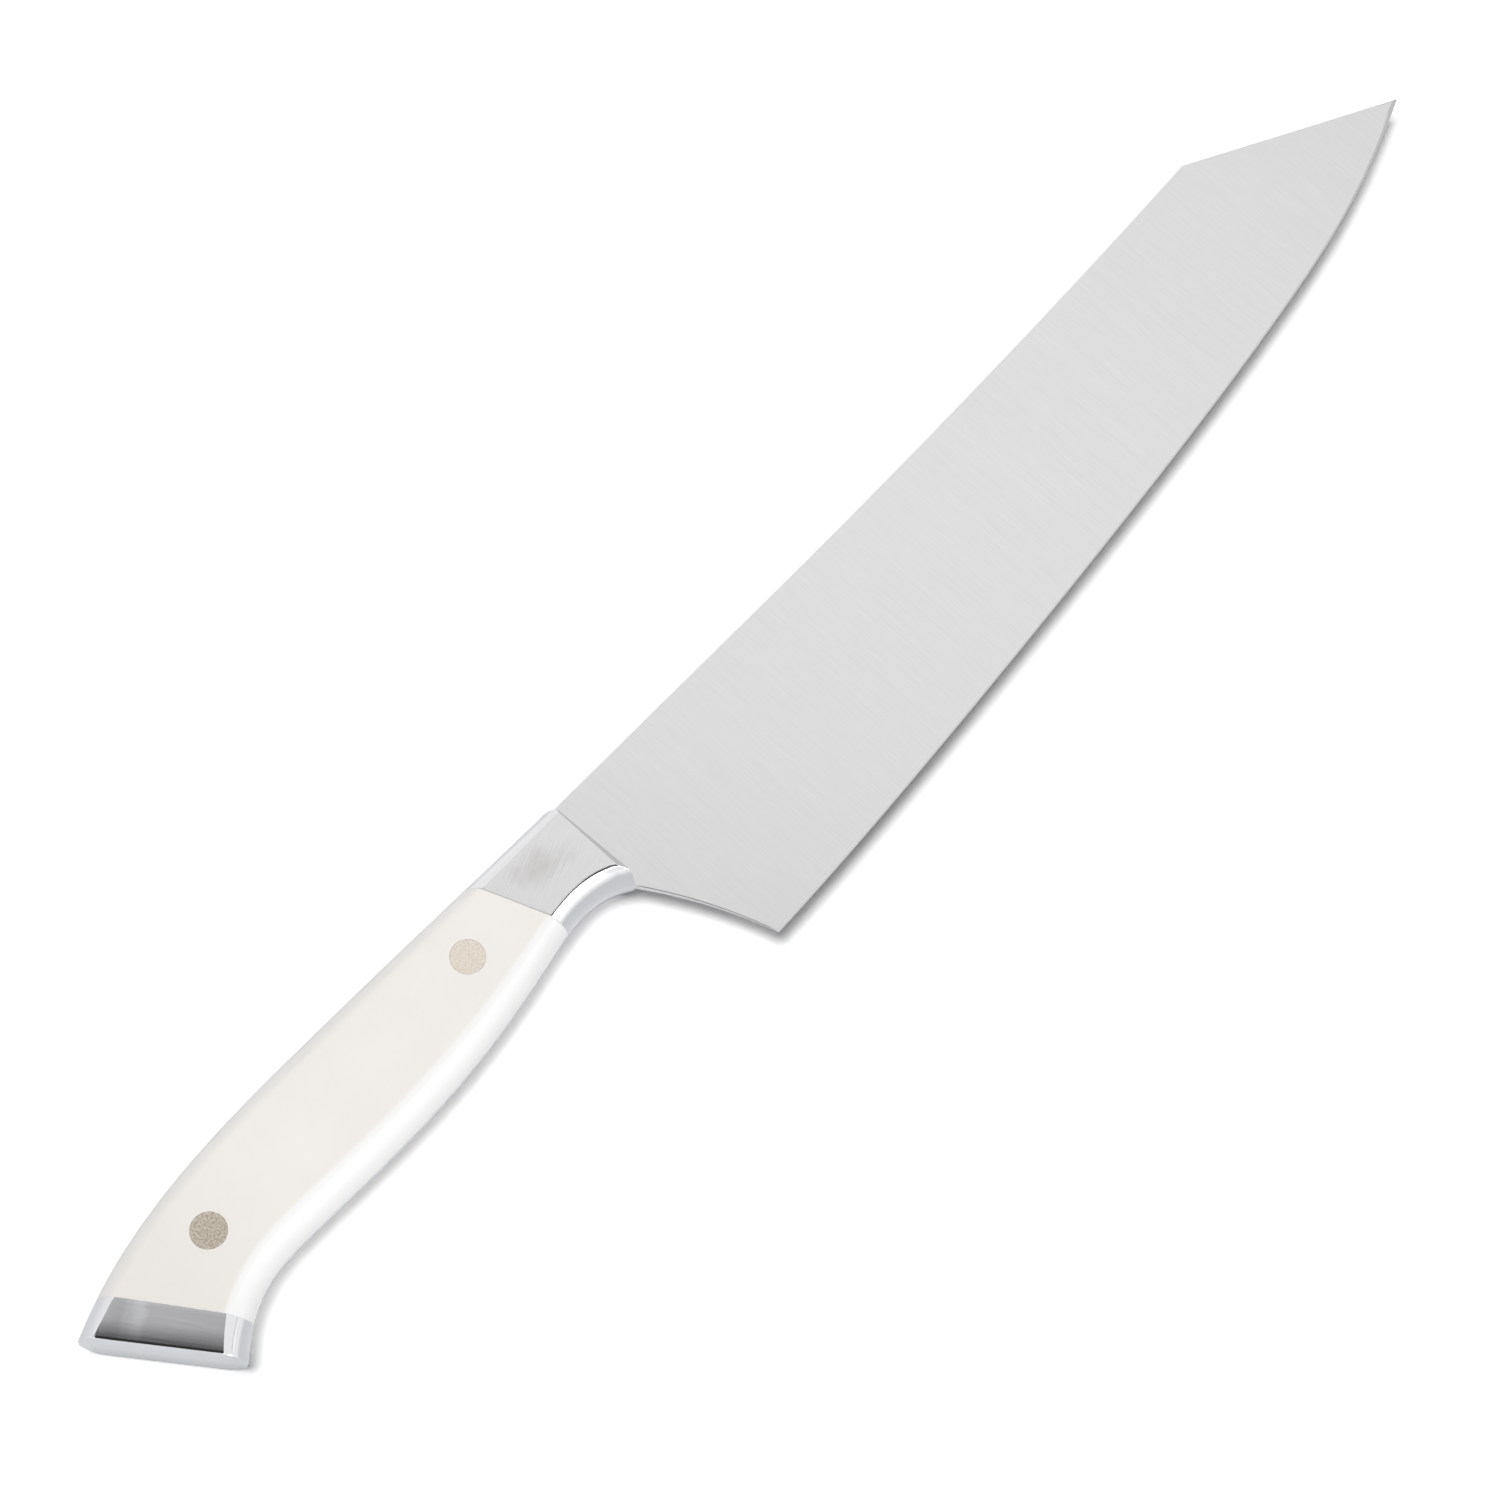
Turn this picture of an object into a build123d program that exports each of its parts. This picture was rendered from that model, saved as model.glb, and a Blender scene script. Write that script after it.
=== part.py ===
from build123d import *
import os
from math import radians, sqrt, tan

# Kiritsuke chef's knife, lying on its left side as it would on a board.
# X runs along the knife towards the tip, Y from the cutting edge towards the spine, and Z up
# through the thickness. The origin is on the left flat of the handle, midway between the two
# rivets, which is the face that the knife rests on. Lengths are in millimetres.

# Handle
handle_length = 113.3       # flat front edge of the bolster to the spine corner of the butt
handle_depth = 22.2         # line of the blade's spine to the lowest point of the grip
handle_thickness = 15.0
spine_crown = 3.4           # how far the rounded back edge stands out past the flats
belly_crown = 4.0           # the same along the belly
rivet_to_spine = 9.8        # line between the rivets to the line of the blade's spine

# Bolster, in two halves with the tang between them
bolster_front = 58.5        # origin to the flat front edge of the bolster
bolster_length = 19.5       # along the spine
bolster_slant = 21.8        # degrees between its rear joint and a square cut
front_slant = 3.2           # degrees between its front face and a square cut
front_chamfer = 0.3         # width at the spine end, it widens towards the belly
front_corner_radius = 2.2
bolster_edge_radius = 1.0   # soft break along the spine side of each half

# End cap, in two halves like the bolster
cap_length = 6.1            # at the spine side
cap_slant = 34.5            # degrees between its joint and a square cut
butt_slant = 36.0           # degrees between the butt face and a square cut
butt_edge_radius = 0.4

# Blade and tang, one piece of steel
blade_reach = 220.9         # front edge of the bolster to the tip
blade_depth = 42.0          # spine to heel
heel_setback = 12.3         # front edge of the bolster to the heel
tip_drop = 16.7             # line of the spine to the tip
clip_length = 42.4          # slanted front edge, measured along the knife
spine_rise = 3.5            # the spine sweeps up by this much to the corner of the clip
spine_straight = 52.5       # straight stretch of the spine before the sweep
choil_hollow = 0.9          # how far the choil is hollowed behind the heel
blade_root = 6.0            # the ground blade starts this far inside the bolster
tang_thickness = 2.5
spine_thickness = 2.3       # of the blade at the bolster
clip_thickness = 1.5        # of the blade at the corner of the clip
bevel_height = 0.8
bevel_thickness = 0.36
spine_break = 0.2           # small flat along both edges of the spine

# Scales
scale_edge_radius = 5.0

# Rivets: a male and a female half, pressed into each other
rivet_spacing = 60.0
rivet_rise = 0.9            # the front rivet sits this much above the line, the rear one below
rivet_diameter = 5.9
rivet_head_length = 3.0
rivet_tube_diameter = 4.4
rivet_shank_diameter = 2.8
rivet_clearance = 0.02      # around the heads and the tube
rivet_end_gap = 0.3         # between the end of each shank and the head that it faces

# Hidden pins that locate the bolster and the end cap on the tang
pin_diameter = 2.0
pin_length = 8.0
pin_clearance = 0.02
pin_end_gap = 0.3

overrun = 1.0               # cutting tools reach this far past what they cut

half_thickness = handle_thickness / 2
half_tang = tang_thickness / 2
mid_plane = Plane.XY.offset(half_thickness)
spine_y = rivet_to_spine
tip_x = bolster_front + blade_reach
tip_y = spine_y - tip_drop
heel_x = bolster_front + heel_setback
heel_y = spine_y - blade_depth
clip_x = tip_x - clip_length
clip_y = spine_y + spine_rise
butt_x = bolster_front - handle_length

# Outlines of the handle's back and belly, from just past the bolster's front to just past the
# butt: how far back and how far down each point lies, as shares of the handle's length and depth
spine_shares = (
    (-0.032, -0.018),
    (0.250, -0.042),
    (0.507, -0.056),
    (0.683, -0.038),
    (0.824, 0.043),
    (0.942, 0.196),
    (1.049, 0.446),
)
belly_shares = (
    (-0.032, 0.959),
    (0.012, 0.800),
    (0.065, 0.745),
    (0.154, 0.806),
    (0.312, 0.944),
    (0.507, 1.000),
    (0.674, 0.980),
    (0.771, 1.016),
    (0.824, 1.135),
    (0.867, 1.300),
    (0.930, 1.580),
)
butt_fall_share = 0.320     # the spine corner of the butt lies this much of the depth down
section_count = 24          # cross-sections along the handle
turn_start_share = 0.58     # they turn with the grip from here
turn_end_share = 0.90       # to here, where they lie along the end cap's joint
front_crown_share = 0.66    # the crowns grow from this share of their full depth
full_crown_share = 0.50     # to all of it here
butt_crown_share = 0.80     # and shrink to this share of it at the butt, from the end cap on


def upright(x, y, slant):
    """Plane across the knife through x, y, whose normal faces the tip and leans to the spine."""
    return Plane((x, y, half_thickness), z_dir=Vector(1, 0, 0).rotate(Axis.Z, slant))


def crown_depth(crown, height):
    """Depth of a crown's arc at a height off the middle, where it is `crown` at the flats."""
    radius = (half_thickness**2 + crown**2) / (2 * crown)
    return radius - sqrt(radius**2 - height**2)


butt_point = Vector(butt_x, spine_y - butt_fall_share * handle_depth, half_thickness)
butt_plane = upright(butt_point.X, butt_point.Y, butt_slant)
cap_point = butt_point + butt_plane.z_dir * cap_length
cap_plane = upright(cap_point.X, cap_point.Y, cap_slant)
bolster_plane = upright(bolster_front - bolster_length, spine_y, bolster_slant)
front_x = bolster_front + front_chamfer
front_plane = upright(front_x, spine_y, front_slant)
# The chamfer along the front is cut at 45 degrees, so that it widens as the front face leans out
right_chamfer = Plane((bolster_front, spine_y, handle_thickness), z_dir=(1, 0, 1))
left_chamfer = Plane((bolster_front, spine_y, 0), z_dir=(1, 0, -1))


def handle_point(run_share, fall_share):
    """Point of the handle's outline that lies this far back and down."""
    return (bolster_front - run_share * handle_length, spine_y - fall_share * handle_depth)


def crown_share(along):
    """Share of the full crowns at a share of the way along the handle."""
    if along < full_crown_share:
        return 1 - (1 - front_crown_share) * (1 - along / full_crown_share) ** 2
    past_cap = max(0, along - turn_end_share) / (1 - turn_end_share)
    return 1 - (1 - butt_crown_share) * past_cap


spine_line = Edge.make_spline([Vector(*handle_point(*shares)) for shares in spine_shares])
belly_line = Edge.make_spline([Vector(*handle_point(*shares)) for shares in belly_shares])

# Solid form of the closed handle, which every piece of it is cut from
section_half = half_thickness + overrun / 2
with BuildPart() as handle_form:
    for step in range(section_count + 1):
        along = step / section_count
        turned = (along - turn_start_share) / (turn_end_share - turn_start_share)
        turned = min(1, max(0, turned))
        slant = cap_slant * turned**2 * (3 - 2 * turned)
        spine_point = spine_line @ along
        downwards = Vector(0, -1, 0).rotate(Axis.Z, slant)
        belly_point = belly_line.find_intersection_points(Axis(spine_point, downwards))[0]
        depth = (belly_point - spine_point).length
        spine_edge = crown_depth(spine_crown * crown_share(along), section_half)
        belly_edge = depth - crown_depth(belly_crown * crown_share(along), section_half)
        start = Vector(spine_point.X, spine_point.Y, half_thickness)
        with BuildSketch(Plane(start, x_dir=downwards, z_dir=downwards.cross(Vector(0, 0, 1)))):
            with BuildLine():
                ThreePointArc((spine_edge, -section_half), (0, 0), (spine_edge, section_half))
                Line((spine_edge, section_half), (belly_edge, section_half))
                ThreePointArc((belly_edge, section_half), (depth, 0), (belly_edge, -section_half))
                Line((belly_edge, -section_half), (spine_edge, -section_half))
            make_face()
    loft()
    split(bisect_by=Plane.XY, keep=Keep.TOP)
    split(bisect_by=Plane.XY.offset(handle_thickness), keep=Keep.BOTTOM)
    split(bisect_by=front_plane, keep=Keep.BOTTOM)
    split(bisect_by=butt_plane, keep=Keep.TOP)
    split(bisect_by=right_chamfer, keep=Keep.BOTTOM)
    split(bisect_by=left_chamfer, keep=Keep.BOTTOM)
    # Round the corner where the back of the bolster drops to the blade's spine
    front_face = handle_form.faces().sort_by(Axis.X)[-1]
    corner_y = front_face.bounding_box().max.Y
    choil_y = front_face.bounding_box().min.Y
    corner_inner = (front_x - front_corner_radius, corner_y - front_corner_radius)
    with BuildSketch(mid_plane):
        with BuildLine():
            RadiusArc(
                (corner_inner[0], corner_y), (front_x, corner_inner[1]), front_corner_radius
            )
            Polyline(
                (front_x, corner_inner[1]),
                (front_x + overrun, corner_inner[1]),
                (front_x + overrun, corner_y + overrun),
                (corner_inner[0], corner_y + overrun),
                (corner_inner[0], corner_y),
            )
        make_face()
    extrude(amount=handle_thickness, both=True, mode=Mode.SUBTRACT)
    butt_face = handle_form.faces().filter_by(GeomType.PLANE).sort_by(Axis.X)[0]
    fillet(butt_face.edges(), radius=butt_edge_radius)

# Tang: the middle slice of the handle, flush with it all round
with BuildPart() as tang:
    add(handle_form.part)
    split(bisect_by=Plane.XY.offset(half_thickness - half_tang), keep=Keep.TOP)
    split(bisect_by=Plane.XY.offset(half_thickness + half_tang), keep=Keep.BOTTOM)

# Rivet and pin places
rivet_spots = {
    "front": (rivet_spacing / 2, rivet_rise),
    "rear": (-rivet_spacing / 2, -rivet_rise),
}
pin_spot_shares = (0.30, 0.65)
bolster_lean = tan(radians(bolster_slant))
bolster_pin_spots = []
for share in pin_spot_shares:
    pin_y = corner_y + share * (choil_y - corner_y)
    joint_x = bolster_front - bolster_length + (spine_y - pin_y) * bolster_lean
    bolster_pin_spots.append(((joint_x + bolster_front) / 2, pin_y))
cap_middle = butt_point + butt_plane.z_dir * cap_length / 2
cap_pin_spots = [
    cap_middle + Vector(0, -1, 0).rotate(Axis.Z, butt_slant) * share * handle_depth
    for share in pin_spot_shares
]
cap_pin_spots = [(spot.X, spot.Y) for spot in cap_pin_spots]

# Blade and tang. The ground blade is a row of sections from inside the bolster to past the tip,
# each with the spine's broken corners and the cutting bevel. The first and last rows lie outside
# the outline, which the choil and the clip then cut. Shares run from the heel to the tip, along
# the blade and up from the heel.
edge_shares = (
    (0.000, 0.000),
    (0.120, 0.036),
    (0.270, 0.113),
    (0.510, 0.274),
    (0.753, 0.498),
    (0.881, 0.688),
    (0.971, 0.912),
    (1.000, 1.000),
    (1.020, 1.066),
)
root_x = bolster_front - blade_root
edge_points = [(root_x, heel_y)] + [
    (heel_x + along * (tip_x - heel_x), heel_y + up * (tip_y - heel_y))
    for along, up in edge_shares
]
sweep_x = bolster_front + spine_straight
taper = (spine_thickness - clip_thickness) / (clip_x - bolster_front)
with BuildPart() as blade:
    for x, edge_y in edge_points:
        swept = max(0, x - sweep_x) / (clip_x - sweep_x)
        top_y = spine_y + spine_rise * swept**2
        side = (spine_thickness - taper * (x - bolster_front)) / 2
        with BuildSketch(Plane((x, 0, half_thickness), x_dir=(0, 1, 0), z_dir=(1, 0, 0))):
            with BuildLine():
                Polyline(
                    (edge_y, 0),
                    (edge_y + bevel_height, bevel_thickness / 2),
                    (top_y - spine_break, side),
                    (top_y, side - spine_break),
                    (top_y, spine_break - side),
                    (top_y - spine_break, -side),
                    (edge_y + bevel_height, -bevel_thickness / 2),
                    close=True,
                )
            make_face()
    loft()
    # Choil: a hollow curve from the bolster's foot to the heel
    choil_top = Vector(handle_form.part.bounding_box().max.X, choil_y)
    choil_line = Vector(heel_x, heel_y) - choil_top
    hollow = choil_line.normalized().rotate(Axis.Z, 90) * choil_hollow
    choil_middle = choil_top + choil_line / 2 + hollow
    choil_end = Vector(heel_x, heel_y) + choil_line.normalized() * overrun
    with BuildSketch(mid_plane):
        with BuildLine():
            ThreePointArc(choil_top, choil_middle, (heel_x, heel_y))
            Polyline(
                (heel_x, heel_y),
                choil_end,
                (root_x - overrun, choil_end.Y),
                (root_x - overrun, choil_y + blade_root),
                (choil_top.X - overrun / 2, choil_y + overrun),
                choil_top,
            )
        make_face()
    extrude(amount=handle_thickness, both=True, mode=Mode.SUBTRACT)
    clip_line = Vector(tip_x - clip_x, tip_y - clip_y)
    clip_normal = clip_line.rotate(Axis.Z, 90)
    split(bisect_by=Plane((tip_x, tip_y, half_thickness), z_dir=clip_normal), keep=Keep.BOTTOM)
    add(tang.part)
    with BuildSketch(mid_plane):
        with Locations(*rivet_spots.values()):
            Circle(rivet_tube_diameter / 2 + rivet_clearance)
        with Locations(*bolster_pin_spots, *cap_pin_spots):
            Circle(pin_diameter / 2 + pin_clearance)
    extrude(amount=handle_thickness, both=True, mode=Mode.SUBTRACT)

# The pieces on both sides of the tang
pin_hole_half = pin_length / 2 + pin_end_gap
pieces = {"blade": blade.part}
for side, outward in (("right", 1), ("left", -1)):
    outward_axis = Axis((0, 0, 0), (0, 0, outward))
    tang_side = Plane((0, 0, half_thickness + outward * half_tang), z_dir=(0, 0, outward))
    flat_side = Plane.XY.offset(half_thickness + outward * half_thickness)

    # Half of the bolster, its spine edge softly broken, with blind holes for the pins
    with BuildPart() as bolster:
        add(handle_form.part)
        split(bisect_by=tang_side, keep=Keep.TOP)
        split(bisect_by=bolster_plane, keep=Keep.TOP)
        flat = bolster.faces().sort_by(outward_axis)[-1]
        fillet(flat.edges().sort_by(Axis.Y)[-1], radius=bolster_edge_radius)
        with BuildSketch(mid_plane):
            with Locations(*bolster_pin_spots):
                Circle(pin_diameter / 2 + pin_clearance)
        extrude(amount=outward * pin_hole_half, mode=Mode.SUBTRACT)
    pieces["bolster_" + side] = bolster.part

    # Half of the end cap, with blind holes for the pins
    with BuildPart() as end_cap:
        add(handle_form.part)
        split(bisect_by=tang_side, keep=Keep.TOP)
        split(bisect_by=cap_plane, keep=Keep.BOTTOM)
        with BuildSketch(mid_plane):
            with Locations(*cap_pin_spots):
                Circle(pin_diameter / 2 + pin_clearance)
        extrude(amount=outward * pin_hole_half, mode=Mode.SUBTRACT)
    pieces["end_cap_" + side] = end_cap.part

    # Scale, its long edges softly rounded, with stepped holes for the rivets
    with BuildPart() as scale:
        add(handle_form.part)
        split(bisect_by=tang_side, keep=Keep.TOP)
        split(bisect_by=bolster_plane, keep=Keep.BOTTOM)
        split(bisect_by=cap_plane, keep=Keep.TOP)
        flat = scale.faces().sort_by(outward_axis)[-1]
        long_edges = flat.edges().sort_by(Axis.Y)
        fillet([long_edges[0], long_edges[-1]], radius=scale_edge_radius)
        with BuildSketch(mid_plane):
            with Locations(*rivet_spots.values()):
                Circle(rivet_tube_diameter / 2 + rivet_clearance)
        extrude(amount=outward * handle_thickness, mode=Mode.SUBTRACT)
        with BuildSketch(flat_side):
            with Locations(*rivet_spots.values()):
                Circle(rivet_diameter / 2 + rivet_clearance)
        extrude(amount=-outward * rivet_head_length, mode=Mode.SUBTRACT)
    pieces["scale_" + side] = scale.part

# Rivets: the male half shows on the right side, the female half on the left
female_tube = handle_thickness - 2 * rivet_head_length - rivet_end_gap
for place, spot in rivet_spots.items():
    with BuildPart() as male:
        with BuildSketch(Plane.XY.offset(handle_thickness)):
            with Locations(spot):
                Circle(rivet_diameter / 2)
        extrude(amount=-rivet_head_length)
        with BuildSketch(Plane.XY.offset(rivet_head_length + rivet_end_gap)):
            with Locations(spot):
                Circle(rivet_shank_diameter / 2)
        extrude(amount=female_tube)
    with BuildPart() as female:
        with BuildSketch():
            with Locations(spot):
                Circle(rivet_diameter / 2)
        extrude(amount=rivet_head_length)
        with BuildSketch(Plane.XY.offset(rivet_head_length)):
            with Locations(spot):
                Circle(rivet_tube_diameter / 2)
                Circle(rivet_shank_diameter / 2, mode=Mode.SUBTRACT)
        extrude(amount=female_tube)
    pieces[place + "_rivet_male"] = male.part
    pieces[place + "_rivet_female"] = female.part

# Pins through the tang, with their ends inside the bolster and the end cap
for name, spots in (("bolster_pins", bolster_pin_spots), ("end_cap_pins", cap_pin_spots)):
    with BuildPart() as pins:
        with BuildSketch(mid_plane):
            with Locations(*spots):
                Circle(pin_diameter / 2)
        extrude(amount=pin_length / 2, both=True)
    pieces[name] = pins.part

os.makedirs("parts", exist_ok=True)
for name, piece in pieces.items():
    piece.label = name
    export_step(piece, "parts/" + name + ".step")
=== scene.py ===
"""Looks of a kiritsuke chef's knife lying on its left side, in the frame of its solid model: X runs
towards the tip, Y from the cutting edge towards the spine and Z up. Forms are made in millimetres."""

import bmesh
import bpy
import numpy as np
from math import atan2, cos, pi, radians, sin, sqrt
from mathutils import Matrix, Vector


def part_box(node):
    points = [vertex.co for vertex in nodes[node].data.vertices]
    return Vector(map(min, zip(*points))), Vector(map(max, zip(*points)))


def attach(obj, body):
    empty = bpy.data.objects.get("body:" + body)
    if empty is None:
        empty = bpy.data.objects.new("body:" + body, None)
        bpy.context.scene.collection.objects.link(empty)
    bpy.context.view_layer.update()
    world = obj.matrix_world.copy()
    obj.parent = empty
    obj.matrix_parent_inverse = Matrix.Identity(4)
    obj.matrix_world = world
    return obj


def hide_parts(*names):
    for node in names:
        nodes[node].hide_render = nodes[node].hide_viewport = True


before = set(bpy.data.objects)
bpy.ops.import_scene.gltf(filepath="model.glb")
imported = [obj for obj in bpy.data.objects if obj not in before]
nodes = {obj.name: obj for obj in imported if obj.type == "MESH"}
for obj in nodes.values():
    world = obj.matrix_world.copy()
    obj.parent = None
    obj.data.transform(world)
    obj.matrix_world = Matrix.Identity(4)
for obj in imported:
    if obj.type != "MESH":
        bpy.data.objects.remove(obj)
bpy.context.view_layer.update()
scene = bpy.context.scene
mm = 0.001

# Blade and tang
# One piece of stainless steel, forged and ground thin, with the full tang running back through the
# handle, where its rim shows between the scales. The flats are finished across the blade on a fine
# belt, the spine and the choil are rounded and polished, and the edge is honed at a steeper angle.

handle_length, handle_depth, half_thickness = 113.3, 22.2, 7.5
half_tang = 1.25
edge_break = 0.06
spine_y, bolster_front = 9.8, 58.5
front_x, front_slant, front_corner = 58.8, radians(3.2), 2.2
bolster_joint_x, bolster_slant = 39.0, radians(21.8)
cap_length, cap_slant, butt_slant, butt_round = 6.8, radians(34.5), radians(36.0), 0.3
spine_crown, belly_crown = 3.4, 4.0
spine_shares = (
    (-0.032, -0.018), (0.250, -0.042), (0.507, -0.056), (0.683, -0.038),
    (0.824, 0.043), (0.942, 0.196), (1.049, 0.446),
)
belly_shares = (
    (-0.032, 0.959), (0.012, 0.800), (0.065, 0.745), (0.154, 0.806), (0.312, 0.944), (0.507, 1.000),
    (0.674, 0.980), (0.771, 1.016), (0.824, 1.135), (0.867, 1.300), (0.930, 1.580),
)
turn_start, turn_end = 0.58, 0.90
rivet_spots = {"front": (30.0, 0.9), "rear": (-30.0, -0.9)}
pin_hole, tube_hole, head_hole = 1.02, 2.22, 2.97
pin_top, head_seat = 11.8, 12.0
through_tang = (5, 10)
joint_level, top_level = half_thickness + half_tang, 2 * half_thickness


def smooth_line(points, count=3000):
    """Evenly spaced points of the smooth line through a few given ones."""
    points = np.array(points)
    gaps = np.hypot(*np.diff(points, axis=0).T)
    along = np.concatenate([[0], np.cumsum(gaps)])
    last = len(points) - 1
    turns = np.eye(last + 1)
    slopes = np.zeros((last + 1, 2))
    for end, near in ((0, slice(0, 4)), (last, slice(last - 3, last + 1))):
        powers = np.vander(along[near] - along[end], 4, increasing=True)
        slopes[end] = np.linalg.solve(powers, points[near])[1]
    for k in range(1, last):
        before, after = gaps[k - 1], gaps[k]
        turns[k, k - 1:k + 2] = after, 2 * (before + after), before
        slopes[k] = 3 * (
            after * (points[k] - points[k - 1]) / before + before * (points[k + 1] - points[k]) / after
        )
    slopes = np.linalg.solve(turns, slopes)
    stops = np.linspace(0, along[-1], count)
    k = np.clip(np.searchsorted(along, stops, side="right") - 1, 0, last - 1)
    gap = gaps[k][:, None]
    s = (stops - along[k])[:, None] / gap
    line = (
        (2 * s**3 - 3 * s**2 + 1) * points[k] + (s**3 - 2 * s**2 + s) * gap * slopes[k]
        + (3 * s**2 - 2 * s**3) * points[k + 1] + (s**3 - s**2) * gap * slopes[k + 1]
    )
    run = np.concatenate([[0], np.cumsum(np.hypot(*np.diff(line, axis=0).T))])
    even = np.linspace(0, run[-1], count)
    return np.stack([np.interp(even, run, line[:, 0]), np.interp(even, run, line[:, 1])], axis=1)


spine_line, belly_line = (
    smooth_line([(bolster_front - back * handle_length, spine_y - down * handle_depth) for back, down in shares])
    for shares in (spine_shares, belly_shares)
)


def facing(slant):
    """Normal of an upright plane that faces the tip and leans towards the spine."""
    return Vector((cos(slant), sin(slant), 0))


def reach(line, point, slant):
    """Share of the way along a line at which it crosses an upright plane."""
    ahead = (line - np.array(point[:2])) @ np.array(facing(slant)[:2])
    k = int(np.argmax(ahead < 0))
    return (k - ahead[k] / (ahead[k] - ahead[k - 1])) / (len(line) - 1)


butt_point = Vector((bolster_front - handle_length, spine_y - 0.320 * handle_depth, 0)) - facing(butt_slant) * 0.7
cap_point = butt_point + facing(butt_slant) * cap_length
front_point = Vector((front_x, spine_y, 0))
bolster_point = Vector((bolster_joint_x, spine_y, 0))
front_along = reach(spine_line, front_point, front_slant)
cap_along = reach(spine_line, cap_point, cap_slant)
butt_along = reach(spine_line, butt_point, butt_slant)


def row(along, slant=None):
    """A station of the handle: its spine point, the way down and how far down the belly is."""
    place = along * (len(spine_line) - 1)
    k = min(int(place), len(spine_line) - 2)
    top = spine_line[k] + (spine_line[k + 1] - spine_line[k]) * (place - k)
    if slant is None:
        turned = min(1, max(0, (along - turn_start) / (turn_end - turn_start)))
        slant = cap_slant * turned**2 * (3 - 2 * turned)
    down = np.array((sin(slant), -cos(slant)))
    past = (belly_line - top) @ np.array((cos(slant), sin(slant)))
    k = int(np.argmax(past < 0))
    share = past[k - 1] / (past[k - 1] - past[k])
    depth = float((belly_line[k - 1] + (belly_line[k] - belly_line[k - 1]) * share - top) @ down)
    crown = 1 - 0.34 * (1 - along / 0.50) ** 2 if along < 0.50 else 1
    crown -= 0.20 * max(0, along - turn_end) / (1 - turn_end)
    return Vector((*top, half_thickness)), Vector((*down, 0)), depth, crown


front_row = row(front_along, front_slant)
step = (cap_along - front_along) / 92
rows = [front_row] + [row(front_along + step * k) for k in range(1, 92)] + [row(cap_along, cap_slant)]
cap_rows = [
    row(cap_along + (butt_along - cap_along) * share, cap_slant + (butt_slant - cap_slant) * share)
    for share in (0, 0.1, 0.22, 0.34, 0.46, 0.56, 0.65, 0.73, 0.80, 0.86, 1.0)
]


def quarter(crown, round_off, low, steps):
    """Points from a height up the crown, round its edge and onto the flat: depth and height.

    An edge rounded by less than a millimetre takes 4 steps.
    """
    radius = (half_thickness**2 + crown**2) / (2 * crown)
    level = half_thickness - round_off
    inside = sqrt((radius - round_off) ** 2 - level**2)
    tangent = level * radius / (radius - round_off)
    heights = [low + (tangent - low) * k / steps for k in range(steps + 1)]
    points = [(radius - sqrt(radius**2 - height**2), height) for height in heights]
    if round_off:
        start = atan2(level, inside)
        turns = steps if round_off >= 1 else 4
        for k in range(1, turns + 1):
            angle = start + (pi / 2 - start) * k / turns
            points.append((radius - inside - round_off * cos(angle), level + round_off * sin(angle)))
    return points


def loft(stations, low, high, spine_round=0.0, belly_round=0.0, flat_steps=8):
    """A closed length of the handle between two heights off the middle, made from a grid.

    A form that ends above the tang has a flat on top. The tang itself is only the rim between the slabs.
    """
    rings = []
    for top, down, depth, crown in stations:
        if high > half_tang:
            spine_side = quarter(spine_crown * crown, spine_round, low, 6)
            belly_side = quarter(belly_crown * crown, belly_round, low, 6)
            belly_side = [(depth - out, height) for out, height in reversed(belly_side)]
            across = [
                (spine_side[-1][0] + (belly_side[0][0] - spine_side[-1][0]) * k / flat_steps, half_thickness)
                for k in range(1, flat_steps)
            ]
            ring = spine_side + across + belly_side
        else:
            ring = []
            for side, size in ((0, spine_crown), (1, belly_crown)):
                radius = (half_thickness**2 + (size * crown) ** 2) / (2 * size * crown)
                rim = [(radius - sqrt(radius**2 - height**2), height) for height in (low, low / 2, 0, high / 2, high)]
                ring += [(depth - out, height) for out, height in reversed(rim)] if side else rim
        ring.append(ring[0])
        rings.append([top + down * out + Vector((0, 0, height)) for out, height in ring])
    return skin(rings)


def skin(rings):
    """A closed form over a row of rings, shaped from a grid."""
    form = bmesh.new()
    bmesh.ops.create_grid(form, x_segments=len(rings[0]) - 1, y_segments=len(rings) - 1, size=1)
    form.verts.ensure_lookup_table()
    for vertex, place in zip(form.verts, (place for ring in rings for place in ring)):
        vertex.co = place
    bmesh.ops.remove_doubles(form, verts=form.verts, dist=1e-4)
    close(form)
    return form


def close(form):
    """Closes open ends and points the faces outwards."""
    open_edges = [edge for edge in form.edges if edge.is_boundary]
    bmesh.ops.holes_fill(form, edges=open_edges, sides=0)
    bmesh.ops.recalc_face_normals(form, faces=form.faces)


def cut(form, point, normal, snap=0.12):
    """Cuts away what lies past a plane and closes the cut."""
    normal = Vector(normal).normalized()
    point = Vector(point)
    found = bmesh.ops.bisect_plane(
        form, geom=form.verts[:] + form.edges[:] + form.faces[:], dist=snap,
        plane_co=point, plane_no=normal, clear_outer=True,
    )
    for item in found["geom_cut"]:
        if isinstance(item, bmesh.types.BMVert):
            item.co -= normal * (item.co - point).dot(normal)
    bmesh.ops.dissolve_degenerate(form, edges=form.edges, dist=0.01)
    close(form)


def round_corner(form):
    """Rounds the corner where the back of the handle drops to the blade's spine."""
    centre = Vector((front_x - front_corner, front_row[0].y - front_corner, 0))
    for degrees_up in range(9, 86, 11):
        outwards = Vector((cos(radians(degrees_up)), sin(radians(degrees_up)), 0))
        cut(form, centre + outwards * front_corner, outwards, snap=0.01)


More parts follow.
